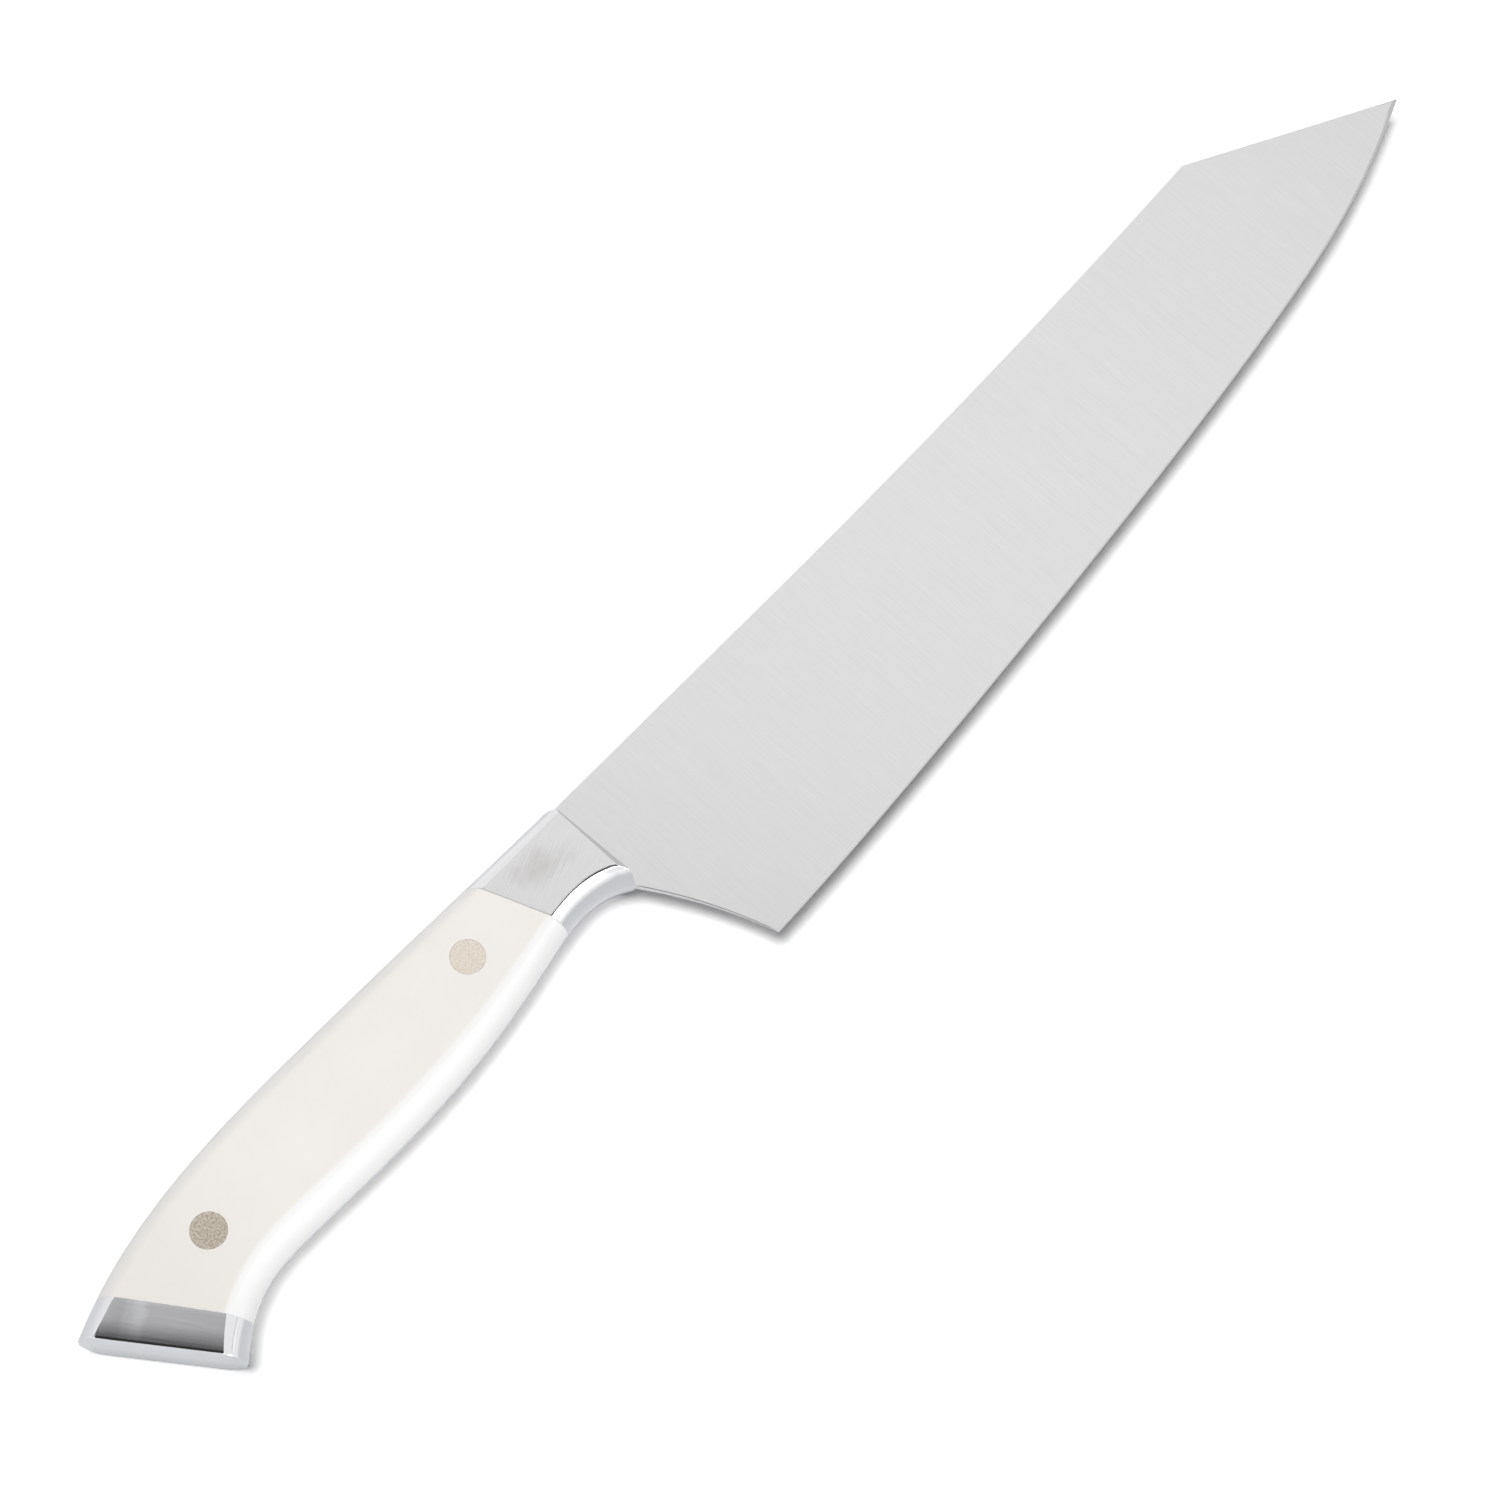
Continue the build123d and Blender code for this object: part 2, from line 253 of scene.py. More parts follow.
def round_butt(form, sides):
    """Rounds the edges of the butt face, apart from those on the tang's sides."""
    ends = [
        edge for edge in form.edges
        if all(abs((vertex.co - butt_point).xy.dot(facing(butt_slant).xy)) < 0.005 for vertex in edge.verts)
        and not any(all(abs(vertex.co.z - side) < 0.005 for vertex in edge.verts) for side in sides)
    ]
    bmesh.ops.bevel(
        form, geom=ends, offset=butt_round, segments=4, profile=0.5, affect="EDGES",
        clamp_overlap=True, material=-1,
    )


def combine(form, other, operation):
    """Joins another form to a form, or takes it away."""
    pair = []
    for shape in (form, other):
        mesh = bpy.data.meshes.new("working")
        shape.to_mesh(mesh)
        pair.append(bpy.data.objects.new("working", mesh))
        scene.collection.objects.link(pair[-1])
    change = pair[0].modifiers.new("change", "BOOLEAN")
    change.operation, change.solver, change.object = operation, "EXACT", pair[1]
    result = pair[0].evaluated_get(bpy.context.evaluated_depsgraph_get()).to_mesh()
    form.clear()
    form.from_mesh(result)
    for item in pair:
        mesh = item.data
        bpy.data.objects.remove(item)
        bpy.data.meshes.remove(mesh)


def drill(form, spots, radius, low, high):
    """Drills holes through a form between two heights."""
    cutter = bmesh.new()
    for x, y in spots:
        bmesh.ops.create_cone(
            cutter, cap_ends=True, segments=72, radius1=radius, radius2=radius, depth=high - low,
            matrix=Matrix.Translation((x, y, (low + high) / 2)),
        )
    combine(form, cutter, "DIFFERENCE")
    cutter.free()


def pin_spots(name):
    """Middles of the two upright pins of a node, which is 1 mm in radius. The upper one is further back."""
    low, high = (Vector(corner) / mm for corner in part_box(name))
    return (low.x + 1, high.y - 1), (high.x - 1, low.y + 1)


def break_edges(form, width, segments=2, least=18, skip=()):
    """Takes the burr off the sharp edges, apart from those on some levels."""
    edges = [
        edge for edge in form.edges
        if edge.is_manifold and edge.calc_face_angle(0) > radians(least)
        and not any(all(abs(vertex.co.z - level) < 0.01 for vertex in edge.verts) for level in skip)
    ]
    bmesh.ops.bevel(
        form, geom=edges, offset=width, segments=segments, profile=0.5, affect="EDGES",
        clamp_overlap=True, material=-1,
    )


def mirrored(form):
    """A copy of a right-hand form for the left side of the tang."""
    other = form.copy()
    for vertex in other.verts:
        vertex.co.z = 2 * half_thickness - vertex.co.z
    bmesh.ops.recalc_face_normals(other, faces=other.faces)
    return other


def finished(form, name):
    """Makes a form the visible piece that stands for a node of the solid model."""
    bmesh.ops.scale(form, vec=(mm, mm, mm), verts=form.verts)
    mesh = bpy.data.meshes.new(name + "_finished")
    form.to_mesh(mesh)
    form.free()
    mesh.shade_smooth()
    mesh.set_sharp_from_angle(angle=radians(38))
    piece = bpy.data.objects.new(name + "_finished", mesh)
    scene.collection.objects.link(piece)
    even = piece.modifiers.new("even_shading", "WEIGHTED_NORMAL")
    even.keep_sharp, even.weight = True, 60
    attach(piece, "root")
    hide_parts(name)
    return piece


# the ground blade, from a root inside the handle to the tip: rings down from the spine to the edge
tip, heel, clip_x, clip_y = (279.4, -6.9), (70.8, -32.2), 237.0, 13.3
edge_shares = (
    (0.000, 0.000), (0.120, 0.036), (0.270, 0.113), (0.510, 0.274), (0.753, 0.498),
    (0.881, 0.688), (0.971, 0.912), (1.000, 1.000), (1.020, 1.066),
)
edge_line = smooth_line([(52.5, heel[1])] + [
    (heel[0] + along * (tip[0] - heel[0]), heel[1] + up * (tip[1] - heel[1])) for along, up in edge_shares
])
sweep_x, spine_rise = 111.0, 3.5
bevel_height, bevel_half, spine_break = 0.8, 0.18, 0.2
choil_top, choil_hollow = Vector((59.87, -9.39)), 0.9


def blade_ring(x, low=None):
    """Ring of the blade at a place along it, cut off below at the choil and above at the clip."""
    edge = float(np.interp(x, edge_line[:, 0], edge_line[:, 1])) if x > heel[0] else heel[1]
    spine = spine_y + spine_rise * (max(0, x - sweep_x) / (clip_x - sweep_x)) ** 2
    side = (2.3 - 0.8 * (x - bolster_front) / (clip_x - bolster_front)) / 2
    low = edge if low is None else low
    high = spine if x <= clip_x else clip_y + (tip[1] - clip_y) * (x - clip_x) / (tip[0] - clip_x)

    def half_width(y):
        above = y - edge - bevel_height
        if above < 0:
            return bevel_half * (1 + above / bevel_height)
        return bevel_half + (side - bevel_half) * above / (spine - spine_break - edge - bevel_height)

    shoulder = min(low + bevel_height, high)
    rounding = min(spine_break, 0.3 * (high - low))
    levels = [low] + [shoulder + (high - rounding - shoulder) * k / 4 for k in range(5)]
    half = [(y, half_width(y)) for y in levels]
    half.append((high, max(0, half_width(high) - min(rounding, 0.4 * half_width(high)))))
    ring = half + [(y, -width) for y, width in reversed(half)]
    ring.append(ring[0])
    return [Vector((x, y, half_thickness + width)) for y, width in ring]


choil_foot = Vector(heel)
chord = choil_foot - choil_top
hollow = Vector((-chord.y, chord.x)).normalized()
choil_radius = chord.length ** 2 / (8 * choil_hollow) + choil_hollow / 2
choil_centre = (choil_top + choil_foot) / 2 + hollow * (choil_hollow - choil_radius)
half_angle = atan2(chord.length / 2, choil_radius - choil_hollow)
rings = [blade_ring(57.4, -7.0)]
for k in range(21):
    angle = half_angle * (1 - k / 10)
    out = Vector((hollow.x * cos(angle) - hollow.y * sin(angle), hollow.x * sin(angle) + hollow.y * cos(angle)))
    place = choil_centre + out * choil_radius
    rings.append(blade_ring(place.x, place.y))
rings[-1] = blade_ring(heel[0])
rings += [blade_ring(heel[0] + (clip_x - heel[0]) * k / 90) for k in range(1, 91)]
rings += [blade_ring(clip_x + (tip[0] - clip_x) * (1 - (1 - k / 30) ** 1.2)) for k in range(1, 31)]
ground = skin(rings)
choil_edges = [
    edge for edge in ground.edges
    if edge.calc_face_angle(0) > radians(60) and all(vertex.co.x < heel[0] - 0.2 for vertex in edge.verts)
    and all(vertex.co.y < choil_top.y + 0.1 for vertex in edge.verts)
]
bmesh.ops.bevel(
    ground, geom=choil_edges, offset=0.14, segments=3, profile=0.5, affect="EDGES",
    clamp_overlap=True, material=-1,
)
tang = loft(rows + cap_rows[1:], -half_tang, half_tang)
round_corner(tang)
round_butt(tang, (half_thickness - half_tang, joint_level))
combine(ground, tang, "UNION")
drill(ground, rivet_spots.values(), tube_hole, *through_tang)
drill(ground, pin_spots("bolster_pins") + pin_spots("end_cap_pins"), pin_hole, *through_tang)


def feed(tree, socket, value):
    """Sets a socket to a value, or links it to another node's output."""
    if isinstance(value, bpy.types.NodeSocket):
        tree.links.new(value, socket)
    else:
        socket.default_value = value


def add_node(tree, kind, *sources, **settings):
    """A shader node: its settings in small letters, its inputs in order or by their capitalised names."""
    node = tree.nodes.new("ShaderNode" + kind)
    for name, value in settings.items():
        if name[0].islower():
            setattr(node, name, value)
        else:
            feed(tree, node.inputs[name.replace("_", " ")], value)
    for socket, value in zip(node.inputs, sources):
        feed(tree, socket, value)
    return node


def math(tree, operation, *sources):
    """A value worked out from one, two or three others."""
    return add_node(tree, "Math", *sources, operation=operation).outputs[0]


def ramp(tree, value, low, high, start=0.0, end=1.0, kind="SMOOTHSTEP"):
    """A value that goes from start to end as another goes from low to high."""
    return add_node(tree, "MapRange", value, low, high, start, end, interpolation_type=kind).outputs[0]


def blend(tree, share, first, second):
    """A colour between two others."""
    node = add_node(tree, "Mix", data_type="RGBA")
    for socket, value in zip((node.inputs[0], node.inputs[6], node.inputs[7]), (share, first, second)):
        feed(tree, socket, (*value, 1) if isinstance(value, tuple) and len(value) == 3 else value)
    return node.outputs[2]


def start_group(name, inputs, outputs):
    """An empty group of shader nodes: inputs are (name, kind, value), outputs are names of values."""
    group = bpy.data.node_groups.new(name, "ShaderNodeTree")
    for label, kind, value in inputs:
        socket = group.interface.new_socket(label, in_out="INPUT", socket_type="NodeSocket" + kind)
        if value is not None:
            socket.default_value = value
    for label in outputs:
        group.interface.new_socket(label, in_out="OUTPUT", socket_type="NodeSocketFloat")
    return group, group.nodes.new("NodeGroupInput").outputs, group.nodes.new("NodeGroupOutput").inputs


def use_group(tree, group, **values):
    """A group placed in a material, with its own values."""
    node = tree.nodes.new("ShaderNodeGroup")
    node.node_tree = group
    for label, value in values.items():
        feed(tree, node.inputs[label.replace("_", " ")], value)
    return node.outputs


def start_material(name, **shader_values):
    """A material with its shader, whose constant values are set on its own sockets."""
    material = bpy.data.materials.new(name)
    material.use_nodes = True
    tree = material.node_tree
    shader = tree.nodes["Principled BSDF"].inputs
    for label, value in shader_values.items():
        shader[label.replace("_", " ")].default_value = value
    return material, tree, shader


# hairlines of a belt or brush: fine streaks and wide bands that run along its travel
hairlines, given, puts = start_group(
    "hairlines",
    [("Place", "Vector", None), ("Turn", "Float", 0.0), ("Width", "Float", 0.0002), ("Length", "Float", 0.02)],
    ["Streaks", "Bands"],
)
turned = add_node(hairlines, "VectorRotate", given["Place"], Angle=given["Turn"], rotation_type="Z_AXIS")
for output, times_wider in (("Streaks", 1.0), ("Bands", 9.0)):
    across = math(hairlines, "DIVIDE", 1 / times_wider, given["Width"])
    along = math(hairlines, "DIVIDE", 1.0, given["Length"])
    stretch = add_node(hairlines, "CombineXYZ", along, across, across)
    stretched = add_node(hairlines, "VectorMath", turned.outputs[0], stretch.outputs[0], operation="MULTIPLY")
    noise = add_node(hairlines, "TexNoise", Vector=stretched.outputs[0], Scale=1.0, Detail=3.0, Roughness=0.6)
    feed(hairlines, puts[output], noise.outputs["Fac"])

# where a piece was ground flat, and where its rounded or bevelled sides were polished instead
flat_places, given, puts = start_group(
    "flat_places", [("Normal", "Vector", None), ("Low", "Float", 0.95), ("High", "Float", 0.99)], ["Flat"]
)
upwards = add_node(flat_places, "SeparateXYZ", given["Normal"])
steepness = math(flat_places, "ABSOLUTE", upwards.outputs["Z"])
feed(flat_places, puts["Flat"], ramp(flat_places, steepness, given["Low"], given["High"]))


def steel(name, satin, polish, gloss, turn, width, length, relief, tone=0.05, flat=(0.95, 0.99), marks=None):
    """Ground steel, satin on its flats and polished on its sides. gloss is the roughness of both.

    The hairlines run along turn. tone is how far they vary the colour, and flat how upright a flat's normal is.
    """
    material, tree, shader = start_material(name, Metallic=1.0)
    place = add_node(tree, "TexCoord").outputs
    lines = use_group(tree, hairlines, Place=place["Object"], Turn=turn, Width=width, Length=length)
    level = use_group(tree, flat_places, Normal=place["Normal"], Low=flat[0], High=flat[1])["Flat"]
    dark = blend(tree, level, tuple(c * (1 - tone / 2) for c in polish), tuple(c * (1 - tone) for c in satin))
    light = blend(tree, level, tuple(c * (1 + tone / 2) for c in polish), tuple(c * (1 + tone) for c in satin))
    shade = math(tree, "MULTIPLY_ADD", lines["Streaks"], 0.78, math(tree, "MULTIPLY", lines["Bands"], 0.22))
    colour = blend(tree, ramp(tree, shade, 0.3, 0.7, 0.0, 1.0, "LINEAR"), dark, light)
    if marks:
        colour = marks(tree, place, lines, level, colour)
    feed(tree, shader["Base Color"], colour)
    middle = ramp(tree, level, 0.0, 1.0, gloss[1], gloss[0], "LINEAR")
    least = math(tree, "SUBTRACT", middle, 0.06)
    feed(tree, shader["Roughness"], math(tree, "MULTIPLY_ADD", lines["Streaks"], 0.12, least))
    height = math(tree, "MULTIPLY", lines["Streaks"], ramp(tree, level, 0.0, 1.0, 0.25, 1.0, "LINEAR"))
    grooves = add_node(tree, "Bump", Strength=1.0, Distance=relief, Height=height)
    feed(tree, shader["Normal"], grooves.outputs[0])
    return material



def greyer_bevel(tree, place, lines, level, colour):
    """The cutting bevel, coloured greyer than the flats and the polished spine."""
    rise = math(tree, "ABSOLUTE", add_node(tree, "SeparateXYZ", place["Normal"]).outputs["Z"])
    honed = math(tree, "MULTIPLY", ramp(tree, rise, 0.93, 0.96), ramp(tree, rise, 0.985, 0.995, 1.0, 0.0))
    return blend(tree, honed, colour, (0.60, 0.60, 0.60))


blade_steel = steel(
    "blade_steel", (0.770, 0.770, 0.770), (0.83, 0.83, 0.825), (0.32, 0.12), radians(-90), 0.00014, 0.022, 1.2e-7,
    tone=0.045, flat=(0.985, 0.998), marks=greyer_bevel,
)
blade = finished(ground, "blade")
blade.data.materials.append(blade_steel)

# Bolster
# Two halves of stainless steel, pinned and joined to both sides of the tang and ground flush with it.
# Their flats are brushed along the handle, the front edge is bevelled, and the rounded belly and
# back are polished.


def darker_facet_and_patch(tree, place, lines, level, colour):
    """A darker ragged patch on the flat, and a greyer front facet that is a painted dark reflection, both matched to
    the photo. They may be reflections there.
    """
    # painted reflection: the bevelled front facet is coloured greyer
    ahead = add_node(tree, "VectorMath", place["Normal"], (0.707, 0.0, 0.707), operation="DOT_PRODUCT")
    facet = ramp(tree, ahead.outputs["Value"], 0.95, 0.98)
    colour = blend(tree, facet, colour, (0.64, 0.64, 0.645))
    # a darker ragged patch on the flat
    middle = add_node(tree, "VectorMath", place["Object"], (0.0498, 0.0028, 0.015), operation="SUBTRACT").outputs[0]
    turned = add_node(tree, "VectorRotate", middle, Angle=radians(12), rotation_type="Z_AXIS").outputs[0]
    wide = add_node(tree, "VectorMath", turned, (150.0, 330.0, 0.0), operation="MULTIPLY").outputs[0]
    away = add_node(tree, "VectorMath", wide, operation="LENGTH").outputs["Value"]
    strokes = math(tree, "MULTIPLY", math(tree, "SUBTRACT", lines["Streaks"], 0.5), 1.5)
    blots = add_node(tree, "TexNoise", Vector=place["Object"], Scale=260.0, Detail=2.0).outputs["Fac"]
    blots = math(tree, "MULTIPLY", math(tree, "SUBTRACT", blots, 0.5), 1.6)
    ragged = math(tree, "ADD", math(tree, "ADD", away, strokes), blots)
    patch = ramp(tree, ragged, -0.15, 1.25, 1.0, 0.0)
    patch = math(tree, "MULTIPLY", math(tree, "MULTIPLY", patch, level), 0.85)
    return blend(tree, patch, colour, (0.60, 0.58, 0.565))


bolster_steel = steel(
    "bolster_steel", (0.745, 0.745, 0.75), (0.80, 0.80, 0.81), (0.24, 0.10), radians(-22), 0.00018, 0.006, 8e-8,
    tone=0.04, marks=darker_facet_and_patch,
)
bolster = loft([station for station in rows if station[0].x > 36], half_tang, half_thickness, 1.0, 0.7, 4)
cut(bolster, bolster_point, -facing(bolster_slant))
cut(bolster, (bolster_front, spine_y, top_level), (1, 0, 1))
round_corner(bolster)
drill(bolster, pin_spots("bolster_pins"), pin_hole, half_thickness, pin_top)
break_edges(bolster, edge_break, skip=(joint_level, pin_top))
for side, form in (("left", mirrored(bolster)), ("right", bolster)):
    piece = finished(form, "bolster_" + side)
    piece.data.materials.append(bolster_steel)

# Scales
# Two slabs of ivory white resin, sawn to the handle's outline, glued and riveted to the tang, with
# their long edges rounded over. The whiter long edges are a painted highlight and the darker rear
# end is painted shade, both matched to the photo.

scale_resin, tree, shader = start_material("scale_resin", Specular_IOR_Level=0.55)
surface = add_node(tree, "TexCoord").outputs
place = surface["Object"]
clouds = add_node(tree, "TexNoise", Vector=place, Scale=90.0, Detail=4.0, Roughness=0.55).outputs["Fac"]
grain = add_node(tree, "TexNoise", Vector=place, Scale=2600.0, Detail=3.0, Roughness=0.7).outputs["Fac"]
colour = blend(tree, ramp(tree, clouds, 0.3, 0.7), (0.905, 0.873, 0.830), (0.925, 0.889, 0.852))
colour = blend(tree, math(tree, "MULTIPLY", ramp(tree, grain, 0.55, 0.75), 0.12), colour, (0.83, 0.80, 0.75))
# painted shade: the rear end of the scales is coloured darker
lengthwise = add_node(tree, "SeparateXYZ", place).outputs["X"]
colour = blend(tree, ramp(tree, lengthwise, -0.05, -0.01, 0.6, 0.0), colour, (0.80, 0.775, 0.74))
# painted highlight: the long edges are coloured whiter where they turn to the belly and, half as much, to the spine
sideways = add_node(tree, "SeparateXYZ", surface["Normal"]).outputs["Y"]
painted_belly_highlight = ramp(tree, sideways, -0.42, -0.03, 1.0, 0.0)
painted_spine_highlight = ramp(tree, sideways, 0.5, 0.9, 0.0, 0.5)
colour = blend(tree, math(tree, "MAXIMUM", painted_belly_highlight, painted_spine_highlight), colour, (0.935, 0.933, 0.928))
feed(tree, shader["Base Color"], colour)
feed(tree, shader["Roughness"], ramp(tree, grain, 0.2, 0.8, 0.36, 0.48))
waves = add_node(tree, "Bump", Strength=1.0, Distance=2e-6, Height=clouds).outputs[0]
fine = add_node(tree, "Bump", Strength=0.5, Distance=1.5e-6, Height=grain, Normal=waves).outputs[0]
feed(tree, shader["Normal"], fine)

scale = loft([station for station in rows if station[0].x < 51.5], half_tang, half_thickness, 2.5, 2.5, 1)
cut(scale, bolster_point, facing(bolster_slant))
drill(scale, rivet_spots.values(), tube_hole, 5, 20)
drill(scale, rivet_spots.values(), head_hole, head_seat, 20)
# a drilled flat is one face again before its edges are broken
for level in (joint_level, top_level):
    flat_verts = [vertex for vertex in scale.verts if abs(vertex.co.z - level) < 0.002]
    flat_edges = [edge for edge in scale.edges if all(abs(vertex.co.z - level) < 0.002 for vertex in edge.verts)]
    bmesh.ops.dissolve_limit(scale, angle_limit=radians(0.05), verts=flat_verts, edges=flat_edges)
break_edges(scale, edge_break, skip=(joint_level, head_seat))
for side, form in (("left", mirrored(scale)), ("right", scale)):
    piece = finished(form, "scale_" + side)
    piece.data.materials.append(scale_resin)

# Rivets
# Two pressed pairs of nickel silver. The male half's shank goes into the female half's tube through
# the tang, and both heads are sanded flush with the scales, which leaves them matt and mottled. The
# rear pair's darker colour is a painted darker reflection, matched to the photo.

rivet_metal, tree, shader = start_material("rivet_metal", Metallic=1.0)
place = add_node(tree, "TexCoord").outputs["Object"]
mottle = add_node(tree, "TexNoise", Vector=place, Scale=2600.0, Detail=3.0, Roughness=0.6).outputs["Fac"]
pits = add_node(tree, "TexVoronoi", Vector=place, Scale=3600.0).outputs["Distance"]
scratches = use_group(tree, hairlines, Place=place, Turn=radians(35), Width=0.00007, Length=0.0012)["Streaks"]
colour = blend(tree, ramp(tree, mottle, 0.35, 0.65), (0.87, 0.78, 0.665), (1.0, 0.93, 0.84))
# painted darker reflection: the rear pair of rivets is coloured darker than the front pair
rear = ramp(tree, add_node(tree, "SeparateXYZ", place).outputs["X"], -0.01, 0.01, 1.0, 0.0)
mottle_painted_darker = blend(tree, ramp(tree, mottle, 0.38, 0.62), (0.64, 0.545, 0.42), (0.90, 0.83, 0.73))
colour = blend(tree, rear, colour, mottle_painted_darker)
colour = blend(tree, ramp(tree, pits, 0.08, 0.30, 0.30, 0.0), colour, (0.55, 0.44, 0.31))
feed(tree, shader["Base Color"], colour)
feed(tree, shader["Roughness"], ramp(tree, scratches, 0.3, 0.7, 0.30, 0.50))
bumps = add_node(tree, "Bump", Strength=0.6, Distance=1.5e-6, Height=math(tree, "ADD", mottle, scratches)).outputs[0]
feed(tree, shader["Normal"], bumps)

male_side = ((0, 15), (2.92, 15), (2.95, 14.97), (2.95, 12), (1.4, 12), (1.4, 3.4), (1.3, 3.3), (0, 3.3))
female_side = ((0, 0), (2.92, 0), (2.95, 0.03), (2.95, 3), (2.2, 3), (2.2, 11.7), (1.4, 11.7), (1.4, 3), (0, 3))
for place, (x, y) in rivet_spots.items():
    for half, outline in (("male", male_side), ("female", female_side)):
        form = bmesh.new()
        corners = [form.verts.new((x + out, y, height)) for out, height in outline]
        edges = [form.edges.new(pair) for pair in zip(corners, corners[1:])]
        bmesh.ops.spin(
            form, geom=corners + edges, cent=(x, y, 0), axis=(0, 0, 1), angle=2 * pi, steps=96, use_merge=True
        )
        bmesh.ops.remove_doubles(form, verts=form.verts, dist=1e-4)
        bmesh.ops.recalc_face_normals(form, faces=form.faces)
        piece = finished(form, place + "_rivet_" + half)
        piece.data.materials.append(rivet_metal)

# End cap
# Two halves of stainless steel, pinned and joined to both sides of the tang like the bolster. Their
# flats are brushed along the joint and eased down a little towards the butt, and their sides are
# polished.


def painted_cap_reflections(tree, place, lines, level, colour):
    """A pale and a dark band near the spine and a dark rim at the butt, all painted reflections, matched to the
    photo.
    """
    turned = add_node(tree, "VectorRotate", place["Object"], Angle=-cap_slant, rotation_type="Z_AXIS").outputs[0]
    along = add_node(tree, "SeparateXYZ", turned).outputs["Y"]
    wander = math(tree, "MULTIPLY", math(tree, "SUBTRACT", lines["Bands"], 0.5), 0.002)
    along = math(tree, "ADD", along, wander)
    # painted reflections: a pale band and a dark band on the flat near the spine
    pale = math(tree, "MULTIPLY", ramp(tree, along, 0.0225, 0.0240), ramp(tree, along, 0.0243, 0.0262, 1.0, 0.0))
    dark_band_reflection = math(tree, "MULTIPLY", ramp(tree, along, 0.0262, 0.0272), ramp(tree, along, 0.0280, 0.0300, 1.0, 0.0))
    colour = blend(tree, math(tree, "MULTIPLY", math(tree, "MULTIPLY", pale, level), 0.6), colour, (0.92, 0.93, 0.95))
    colour = blend(tree, math(tree, "MULTIPLY", math(tree, "MULTIPLY", dark_band_reflection, level), 0.4), colour, (0.50, 0.50, 0.51))
    # painted reflection: a dark rim along the butt edge of the flat
    out = add_node(tree, "VectorMath", place["Object"], facing(butt_slant), operation="DOT_PRODUCT").outputs["Value"]
    rim = butt_point.dot(facing(butt_slant)) * mm
    dark_rim_reflection = math(tree, "MULTIPLY", ramp(tree, out, rim + 0.00040, rim + 0.00055, 1.0, 0.0), level)
    return blend(tree, math(tree, "MULTIPLY", dark_rim_reflection, 0.85), colour, (0.12, 0.12, 0.12))


cap_steel = steel(
    "cap_steel", (0.71, 0.715, 0.725), (0.785, 0.79, 0.805), (0.20, 0.09), radians(55.5), 0.00014, 0.007, 8e-8,
    tone=0.08, flat=(0.93, 0.97), marks=painted_cap_reflections,
)
cap = loft(cap_rows, half_tang, half_thickness, 0.6, 0.0, 8)
ease_length, ease_depth = 3.4, 0.17
for vertex in cap.verts:
    to_butt = (vertex.co - butt_point).xy.dot(facing(butt_slant).xy)
    if vertex.co.z > top_level - 0.01 and to_butt < ease_length:
        vertex.co.z -= ease_depth * (1 - to_butt / ease_length) ** 2
round_butt(cap, (joint_level,))
drill(cap, pin_spots("end_cap_pins"), pin_hole, half_thickness, pin_top)
break_edges(cap, 0.05, skip=(joint_level, pin_top))
for side, form in (("left", mirrored(cap)), ("right", cap)):
    piece = finished(form, "end_cap_" + side)
    piece.data.materials.append(cap_steel)

# Hidden pins
# Short ground steel pins that locate the bolster and the end cap on the tang. They sit inside both
# and none of them shows.

pin_steel = steel("pin_steel", (0.6, 0.6, 0.6), (0.6, 0.6, 0.6), (0.3, 0.25), 0.0, 0.0002, 0.002, 1e-7)
for name in ("bolster_pins", "end_cap_pins"):
    nodes[name].data.materials.clear()
    nodes[name].data.materials.append(pin_steel)

# Camera, floor and light
# The camera stands where a fit to the photo puts it. The knife lies on a white floor under a soft lamp
# and a low one on the belly's side. Only reflections show the five cards and the greyer floor by the
# handle, which are set to give the photo's reflections from this camera.

camera_place = Vector((-0.08087, -0.09245, 0.48487))
camera_right = Vector((0.6638, -0.7402, 0.1073)).normalized()
camera_forward = Vector((0.3355, 0.1664, -0.9272)).normalized()
camera_up = camera_right.cross(camera_forward).normalized()
camera_right = camera_forward.cross(camera_up)
camera_data = bpy.data.cameras.new("camera")
camera_data.sensor_width = 36
camera_data.lens = 72
camera_data.clip_start = 0.01
camera = bpy.data.objects.new("camera", camera_data)
camera.matrix_world = Matrix.Translation(camera_place) @ Matrix(
    (camera_right, camera_up, -camera_forward)
).transposed().to_4x4()
scene.collection.objects.link(camera)
scene.camera = camera


def panel(name, size, place=(0, 0, 0)):
    """A level square that belongs to the studio and not to the knife."""
    form = bmesh.new()
    bmesh.ops.create_grid(form, x_segments=1, y_segments=1, size=size / 2, matrix=Matrix.Translation(place))
    mesh = bpy.data.meshes.new(name)
    form.to_mesh(mesh)
    form.free()
    item = bpy.data.objects.new(name, mesh)
    scene.collection.objects.link(item)
    return item


def seen_directly(tree):
    """Whether a ray comes from the camera, and whether it comes off a glossy surface."""
    path = add_node(tree, "LightPath").outputs
    return path["Is Camera Ray"], path["Is Glossy Ray"]


floor = panel("floor", 12.0)
floor_white, tree, shader = start_material("floor_white", Roughness=1.0, Specular_IOR_Level=0.0)
by_camera, by_steel = seen_directly(tree)
place = add_node(tree, "TexCoord").outputs["Object"]
across = add_node(tree, "SeparateXYZ", place).outputs
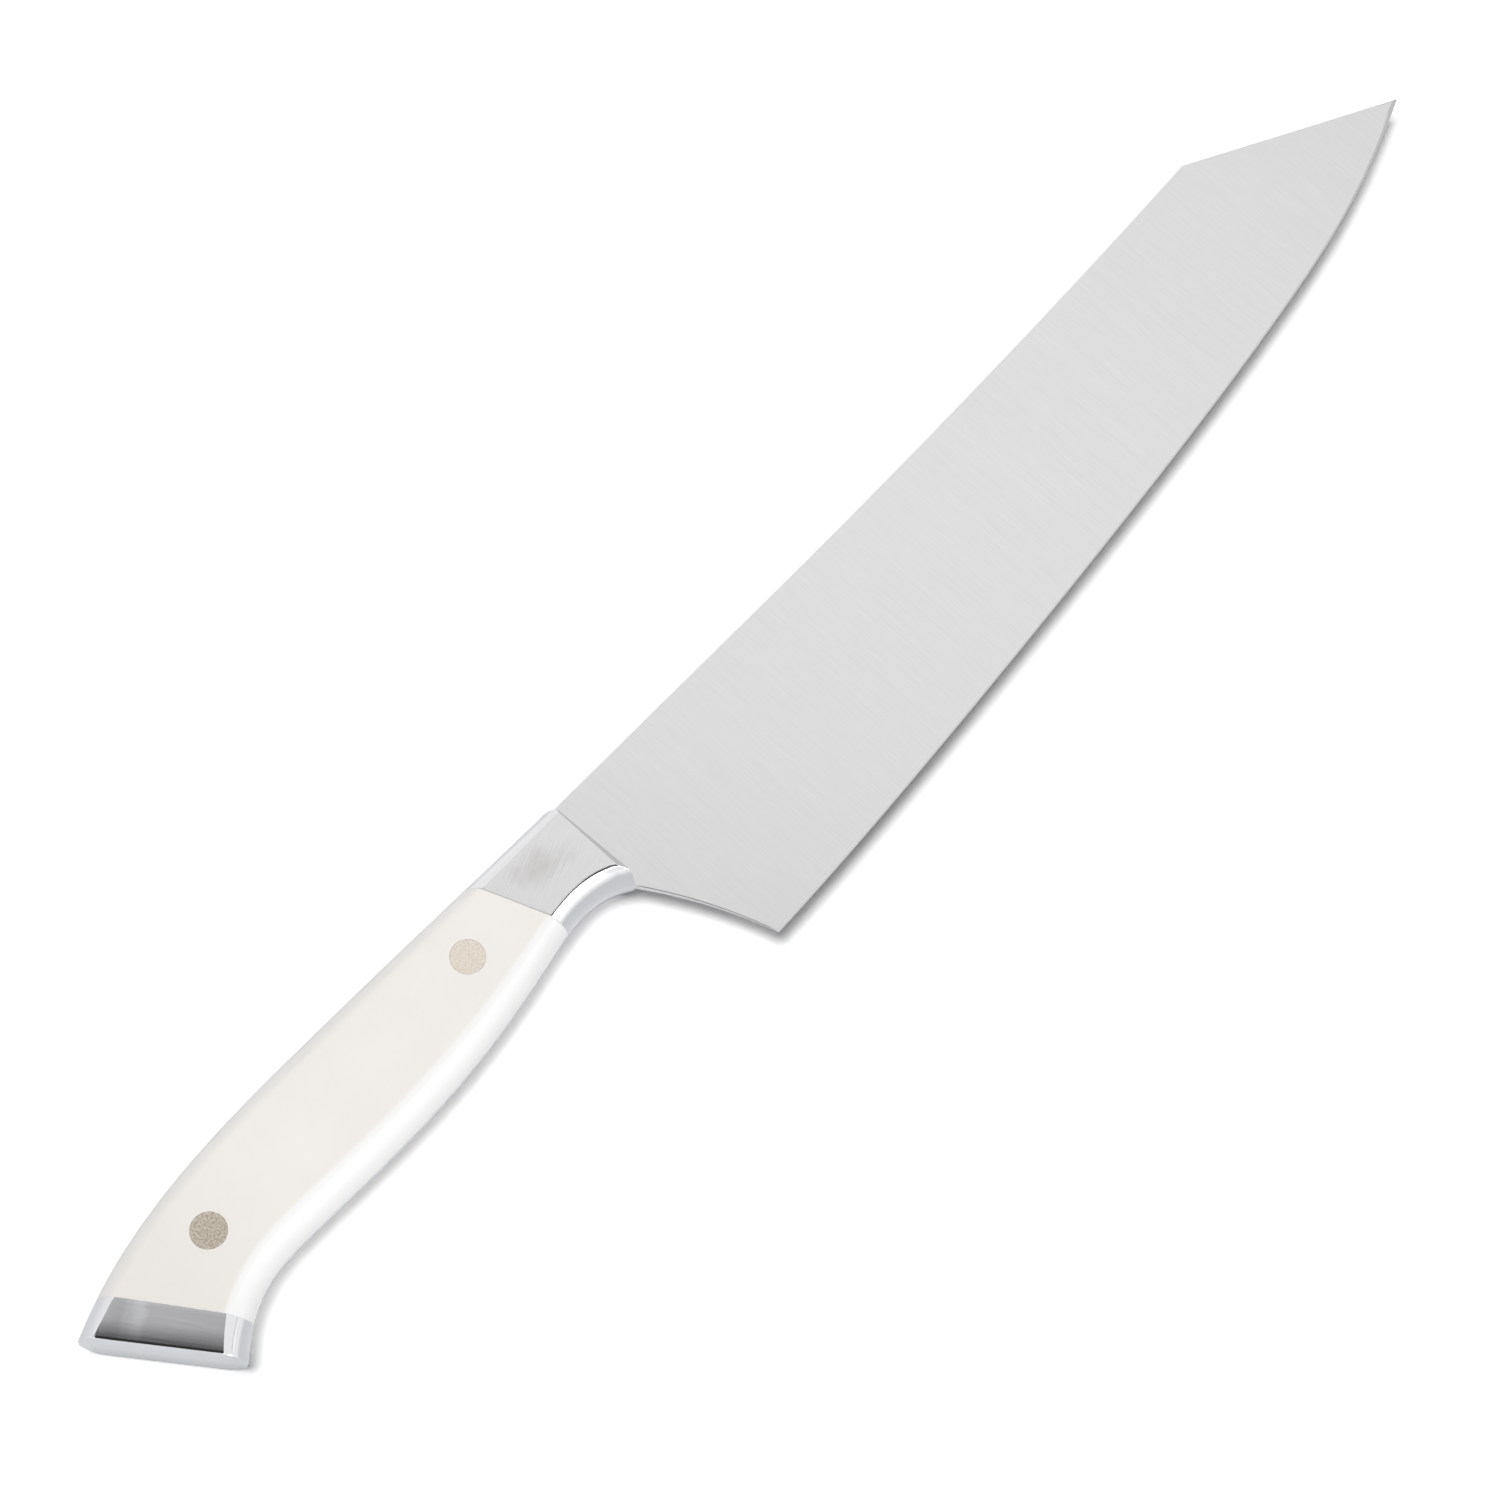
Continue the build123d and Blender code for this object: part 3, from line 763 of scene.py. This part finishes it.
# reflections show a painted shadow, a greyer floor close by the handle, wide by the cap and narrow by the bolster
belly_side = ramp(tree, across["Y"], -0.048, -0.030)
by_cap = ramp(tree, across["Y"], -0.005, 0.060, 1.0, 0.0)
by_bolster = ramp(tree, across["Y"], 0.014, 0.028, 1.0, 0.0)
towards_tip = ramp(tree, across["X"], 0.0, 0.04)
spine_side = math(tree, "MULTIPLY_ADD", towards_tip, math(tree, "SUBTRACT", by_bolster, by_cap), by_cap)
ends = ramp(tree, math(tree, "ABSOLUTE", math(tree, "SUBTRACT", across["X"], 0.02)), 0.080, 0.120, 1.0, 0.0)
painted_floor_shadow = math(tree, "MULTIPLY", math(tree, "MULTIPLY", belly_side, spine_side), ends)
near = blend(tree, painted_floor_shadow, (1.03, 1.03, 1.03), (0.70, 0.71, 0.73))
# over 1 for the camera, so that the floor outside the shadow reaches white
white = blend(tree, by_camera, (0.80, 0.80, 0.80), (1.22, 1.22, 1.22))
feed(tree, shader["Base Color"], blend(tree, by_steel, white, near))
# far from the knife the floor stays white in every view
distance = add_node(tree, "VectorMath", place, operation="LENGTH").outputs["Value"]
far_off = math(tree, "MULTIPLY", by_camera, ramp(tree, distance, 0.35, 0.80))
feed(tree, shader["Emission Color"], blend(tree, far_off, (0.0, 0.0, 0.0), (1.0, 1.0, 1.0)))
shader["Emission Strength"].default_value = 1.0
floor.data.materials.append(floor_white)

world = bpy.data.worlds.new("studio")
world.use_nodes = True
scene.world = world
sky = world.node_tree.nodes["Background"]
sky.inputs["Color"].default_value = (1, 1, 1, 1)
by_camera, by_steel = seen_directly(world.node_tree)
seen = math(world.node_tree, "MAXIMUM", by_camera, by_steel)
feed(world.node_tree, sky.inputs["Strength"], ramp(world.node_tree, seen, 0.0, 1.0, 0.19, 1.0, "LINEAR"))


def softbox(name, place, aim, width, height, power):
    """A rectangular lamp that faces a point."""
    data = bpy.data.lights.new(name, "AREA")
    data.shape = "RECTANGLE"
    data.size, data.size_y = width, height
    data.energy = power
    lamp = bpy.data.objects.new(name, data)
    lamp.location = place
    lamp.rotation_euler = (Vector(aim) - Vector(place)).to_track_quat("-Z", "Y").to_euler()
    scene.collection.objects.link(lamp)
    return lamp


key = softbox("key", (-0.22, 0.16, 1.60), (0.1, 0, 0), 0.60, 0.60, 20.9)
key.visible_glossy = False
softbox("fill", (0.1, -1.2, 0.05), (0.1, 0, 0.01), 1.7, 0.09, 6.8)


def card(name, size, place, level, fade_from, fade_to, way):
    """A level card that only reflections show, of one grey that fades to clear along a way."""
    card = panel(name, size, place)
    card.visible_camera = card.visible_diffuse = card.visible_shadow = card.visible_transmission = False
    paint = bpy.data.materials.new(name)
    paint.use_nodes = True
    tree = paint.node_tree
    tree.nodes.clear()
    across = add_node(tree, "VectorMath", add_node(tree, "TexCoord").outputs["Object"], way, operation="DOT_PRODUCT")
    fade = ramp(tree, across.outputs["Value"], fade_from, fade_to)
    dark = add_node(tree, "Emission", Color=(level, level, level, 1)).outputs[0]
    clear = add_node(tree, "BsdfTransparent").outputs[0]
    add_node(tree, "OutputMaterial", add_node(tree, "MixShader", fade, dark, clear).outputs[0])
    card.data.materials.append(paint)


card("card_above_butt", 1.0, (-0.3, 0.13, 0.7), 0.07, -0.06, 0.24, (0.6, 0.8, 0))
card("card_beside_belly", 1.0, (0.3, -0.72, 0.7), 0.10, -0.40, -0.31, (0, 1, 0))
card("card_beside_cap", 0.8, (-0.42, 0.85, 0.7), 0.06, -2.0, -1.9, (0, 1, 0))
card("card_past_tip", 0.9, (1.05, 0.1, 0.7), 0.84, -0.90, -0.60, (-1, 0, 0))
card("card_by_bolster", 0.10, (0.09, -0.10, 0.002), 1.25, -0.053, -0.043, (0, 1, 0))

scene.view_settings.view_transform = "Standard"
